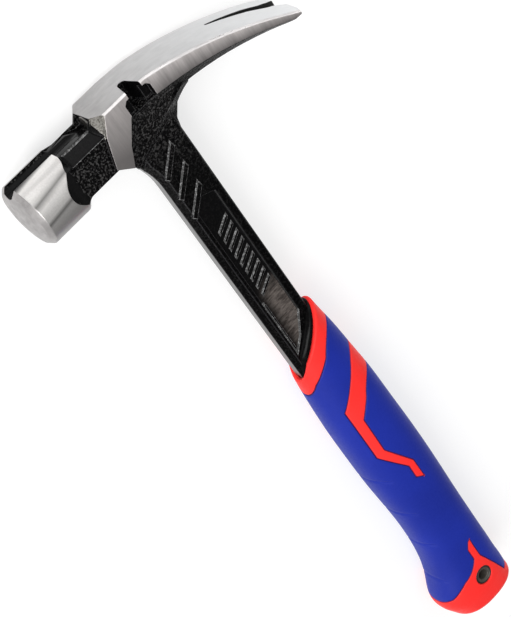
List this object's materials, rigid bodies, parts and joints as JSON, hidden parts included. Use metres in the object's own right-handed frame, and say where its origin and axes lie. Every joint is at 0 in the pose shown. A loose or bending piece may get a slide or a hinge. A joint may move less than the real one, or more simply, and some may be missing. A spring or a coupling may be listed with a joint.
{
  "type": "claw hammer",
  "caption": "One-piece forged rip-claw hammer with a moulded two-colour grip, side nail puller, nail starter groove and hanging hole.",
  "frame": {"origin": "middle of the hammer's footprint, on the surface that it lies on", "axes": "+X along the handle towards the head, +Y towards the striking face, +Z out of the cheek that has the side nail puller"},
  "size_m": [0.342, 0.1414, 0.0328],
  "materials": {
    "black_paint": "glossy black paint over forge scale",
    "bare_steel": "ground and belt-polished",
    "core_plastic": "glossy black",
    "red_rubber": "satin",
    "blue_rubber": "satin with fine grain",
    "eyelet_metal": "dark satin"
  },
  "bodies": {
    "root": {"forged_body": "black_paint", "nail_magnet": "bare_steel", "grip_core": "core_plastic", "grip_collar": "red_rubber", "grip_sleeve": "blue_rubber", "stripe_inlay": "red_rubber", "butt_cap": "red_rubber", "hang_eyelet": "eyelet_metal"}
  },
  "joints": []
}
